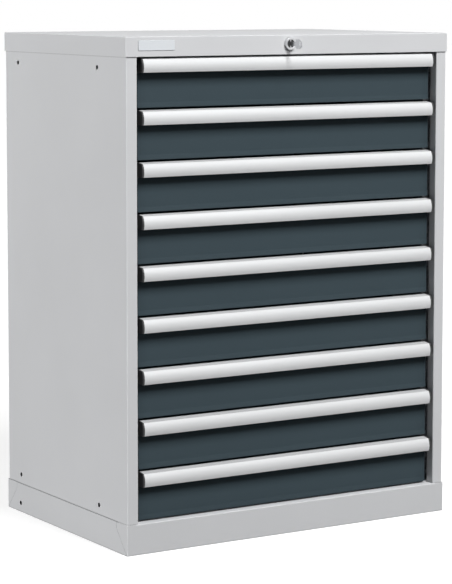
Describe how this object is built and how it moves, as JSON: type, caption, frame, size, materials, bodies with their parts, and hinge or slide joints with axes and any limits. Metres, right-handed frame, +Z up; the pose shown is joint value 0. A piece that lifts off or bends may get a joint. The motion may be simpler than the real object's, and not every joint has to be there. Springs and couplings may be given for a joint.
{
  "type": "tool cabinet",
  "caption": "Steel tool cabinet on a folded plinth, with full-width grips on drawers that run on telescopic slides, and a central key lock that moves a locking bar.",
  "frame": {"origin": "on the floor, under the middle of the whole part's box, key included", "axes": "+Z up, drawers open towards -Y, +X to the right as seen from the front"},
  "size_m": [0.76, 0.558, 1],
  "materials": {
    "housing_paint": "fine-textured light grey powder coat",
    "drawer_paint": "fine-textured anthracite powder coat",
    "grip_aluminium": "satin anodised extrusion",
    "black_plastic": "moulded, fine grain",
    "zinc_steel": "zinc-plated sheet steel",
    "nickel": "nickel-plated die casting"
  },
  "bodies": {
    "housing": {"left_side_panel": "housing_paint", "right_side_panel": "housing_paint", "back_panel": "housing_paint", "top_cover": "housing_paint", "plinth_front_rail": "housing_paint", "plinth_rear_rail": "housing_paint", "plinth_side_plates": "housing_paint", "bottom_plate": "housing_paint", "slotted_uprights": "zinc_steel", "cabinet_rails": "zinc_steel", "lock_cylinder": "nickel"},
    "drawer_1": {"drawer_1_tray": "drawer_paint", "drawer_1_grip": "grip_aluminium", "drawer_1_grip_caps": "black_plastic", "drawer_1_runners": "zinc_steel"},
    "middle_slides_1": {"drawer_1_middle_slides": "zinc_steel"},
    "drawer_2": {"drawer_2_tray": "drawer_paint", "drawer_2_grip": "grip_aluminium", "drawer_2_grip_caps": "black_plastic", "drawer_2_runners": "zinc_steel"},
    "middle_slides_2": {"drawer_2_middle_slides": "zinc_steel"},
    "drawer_3": {"drawer_3_tray": "drawer_paint", "drawer_3_grip": "grip_aluminium", "drawer_3_grip_caps": "black_plastic", "drawer_3_runners": "zinc_steel"},
    "middle_slides_3": {"drawer_3_middle_slides": "zinc_steel"},
    "drawer_4": {"drawer_4_tray": "drawer_paint", "drawer_4_grip": "grip_aluminium", "drawer_4_grip_caps": "black_plastic", "drawer_4_runners": "zinc_steel"},
    "middle_slides_4": {"drawer_4_middle_slides": "zinc_steel"},
    "drawer_5": {"drawer_5_tray": "drawer_paint", "drawer_5_grip": "grip_aluminium", "drawer_5_grip_caps": "black_plastic", "drawer_5_runners": "zinc_steel"},
    "middle_slides_5": {"drawer_5_middle_slides": "zinc_steel"},
    "drawer_6": {"drawer_6_tray": "drawer_paint", "drawer_6_grip": "grip_aluminium", "drawer_6_grip_caps": "black_plastic", "drawer_6_runners": "zinc_steel"},
    "middle_slides_6": {"drawer_6_middle_slides": "zinc_steel"},
    "drawer_7": {"drawer_7_tray": "drawer_paint", "drawer_7_grip": "grip_aluminium", "drawer_7_grip_caps": "black_plastic", "drawer_7_runners": "zinc_steel"},
    "middle_slides_7": {"drawer_7_middle_slides": "zinc_steel"},
    "drawer_8": {"drawer_8_tray": "drawer_paint", "drawer_8_grip": "grip_aluminium", "drawer_8_grip_caps": "black_plastic", "drawer_8_runners": "zinc_steel"},
    "middle_slides_8": {"drawer_8_middle_slides": "zinc_steel"},
    "drawer_9": {"drawer_9_tray": "drawer_paint", "drawer_9_grip": "grip_aluminium", "drawer_9_grip_caps": "black_plastic", "drawer_9_runners": "zinc_steel"},
    "middle_slides_9": {"drawer_9_middle_slides": "zinc_steel"},
    "lock_core": {"lock_plug": "nickel", "key": "nickel"},
    "cross_bar": {"cross_bar": "zinc_steel"},
    "lock_bar": {"lock_bar": "zinc_steel"}
  },
  "joints": [
    {"name": "drawer_1_slide", "type": "slide", "parent": "housing", "child": "drawer_1", "axis": [0, -1, 0], "range_m": [0, 0.45]},
    {"name": "middle_slide_1", "type": "slide", "parent": "housing", "child": "middle_slides_1", "axis": [0, -1, 0], "range_m": [0, 0.225]},
    {"name": "drawer_2_slide", "type": "slide", "parent": "housing", "child": "drawer_2", "axis": [0, -1, 0], "range_m": [0, 0.45]},
    {"name": "middle_slide_2", "type": "slide", "parent": "housing", "child": "middle_slides_2", "axis": [0, -1, 0], "range_m": [0, 0.225]},
    {"name": "drawer_3_slide", "type": "slide", "parent": "housing", "child": "drawer_3", "axis": [0, -1, 0], "range_m": [0, 0.45]},
    {"name": "middle_slide_3", "type": "slide", "parent": "housing", "child": "middle_slides_3", "axis": [0, -1, 0], "range_m": [0, 0.225]},
    {"name": "drawer_4_slide", "type": "slide", "parent": "housing", "child": "drawer_4", "axis": [0, -1, 0], "range_m": [0, 0.45]},
    {"name": "middle_slide_4", "type": "slide", "parent": "housing", "child": "middle_slides_4", "axis": [0, -1, 0], "range_m": [0, 0.225]},
    {"name": "drawer_5_slide", "type": "slide", "parent": "housing", "child": "drawer_5", "axis": [0, -1, 0], "range_m": [0, 0.45]},
    {"name": "middle_slide_5", "type": "slide", "parent": "housing", "child": "middle_slides_5", "axis": [0, -1, 0], "range_m": [0, 0.225]},
    {"name": "drawer_6_slide", "type": "slide", "parent": "housing", "child": "drawer_6", "axis": [0, -1, 0], "range_m": [0, 0.45]},
    {"name": "middle_slide_6", "type": "slide", "parent": "housing", "child": "middle_slides_6", "axis": [0, -1, 0], "range_m": [0, 0.225]},
    {"name": "drawer_7_slide", "type": "slide", "parent": "housing", "child": "drawer_7", "axis": [0, -1, 0], "range_m": [0, 0.45]},
    {"name": "middle_slide_7", "type": "slide", "parent": "housing", "child": "middle_slides_7", "axis": [0, -1, 0], "range_m": [0, 0.225]},
    {"name": "drawer_8_slide", "type": "slide", "parent": "housing", "child": "drawer_8", "axis": [0, -1, 0], "range_m": [0, 0.45]},
    {"name": "middle_slide_8", "type": "slide", "parent": "housing", "child": "middle_slides_8", "axis": [0, -1, 0], "range_m": [0, 0.225]},
    {"name": "drawer_9_slide", "type": "slide", "parent": "housing", "child": "drawer_9", "axis": [0, -1, 0], "range_m": [0, 0.45]},
    {"name": "middle_slide_9", "type": "slide", "parent": "housing", "child": "middle_slides_9", "axis": [0, -1, 0], "range_m": [0, 0.225]},
    {"name": "key_turn", "type": "hinge", "parent": "housing", "child": "lock_core", "pos_m": [-0.0095, -0.233, 0.9825], "axis": [0, 1, 0], "range_deg": [0, 90]},
    {"name": "cross_bar_slide", "type": "slide", "parent": "housing", "child": "cross_bar", "axis": [1, 0, 0], "range_m": [0, 0.0099]},
    {"name": "lock_bar_lift", "type": "slide", "parent": "housing", "child": "lock_bar", "axis": [0, 0, 1], "range_m": [0, 0.0099]}
  ],
  "couplings": [
    {"joint": "middle_slide_1", "follows": "drawer_1_slide", "ratio": 0.5},
    {"joint": "middle_slide_2", "follows": "drawer_2_slide", "ratio": 0.5},
    {"joint": "middle_slide_3", "follows": "drawer_3_slide", "ratio": 0.5},
    {"joint": "middle_slide_4", "follows": "drawer_4_slide", "ratio": 0.5},
    {"joint": "middle_slide_5", "follows": "drawer_5_slide", "ratio": 0.5},
    {"joint": "middle_slide_6", "follows": "drawer_6_slide", "ratio": 0.5},
    {"joint": "middle_slide_7", "follows": "drawer_7_slide", "ratio": 0.5},
    {"joint": "middle_slide_8", "follows": "drawer_8_slide", "ratio": 0.5},
    {"joint": "middle_slide_9", "follows": "drawer_9_slide", "ratio": 0.5},
    {"joint": "cross_bar_slide", "follows": "lock_bar_lift", "ratio": 1},
    {"joint": "key_turn", "follows": "lock_bar_lift", "rad_per_m": 158.67}
  ]
}
